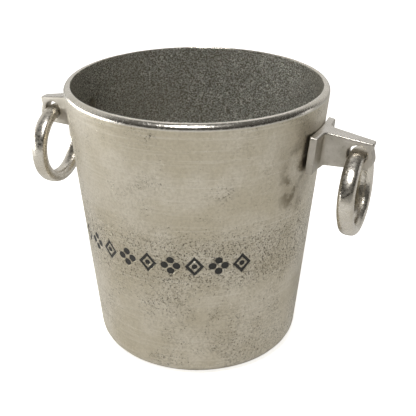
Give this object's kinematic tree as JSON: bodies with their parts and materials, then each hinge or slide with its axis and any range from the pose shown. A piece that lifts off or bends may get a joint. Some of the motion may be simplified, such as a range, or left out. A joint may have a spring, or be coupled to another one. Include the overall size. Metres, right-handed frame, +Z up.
{
  "type": "champagne bucket",
  "caption": "Cast metal champagne bucket with a tapered round wall, an engraved band and two hanging ring handles on side brackets.",
  "frame": {"origin": "centre of the base, on the bucket's axis, at the level of the table it stands on", "axes": "+Z up along the bucket's axis; +X towards the right handle, so both handles stand on X; the engraved band faces -Y"},
  "size_m": [0.2948, 0.2122, 0.2265],
  "materials": {
    "cast_body": "sand cast, nickel plated, satin outside and rough inside",
    "dark_enamel": "matt dark enamel in the recesses",
    "bracket_casting": "cast, nickel plated, polished on top",
    "polished_ring": "cast, nickel plated and polished",
    "screw_steel": "steel, nickel plated with the casting"
  },
  "bodies": {
    "bucket": {"bucket_body": "cast_body", "enamel_infill": "dark_enamel", "right_bracket": "bracket_casting", "left_bracket": "bracket_casting", "right_bracket_screws": "screw_steel", "left_bracket_screws": "screw_steel"},
    "right_handle": {"right_ring": "polished_ring"},
    "left_handle": {"left_ring": "polished_ring"}
  },
  "joints": [
    {"name": "right_ring_swing", "type": "hinge", "parent": "bucket", "child": "right_handle", "pos_m": [0.13474, 0, 0.1852], "axis": [0, -1, 0], "range_deg": [-28, 208]},
    {"name": "left_ring_swing", "type": "hinge", "parent": "bucket", "child": "left_handle", "pos_m": [-0.13474, 0, 0.1852], "axis": [0, 1, 0], "range_deg": [-28, 208]}
  ]
}
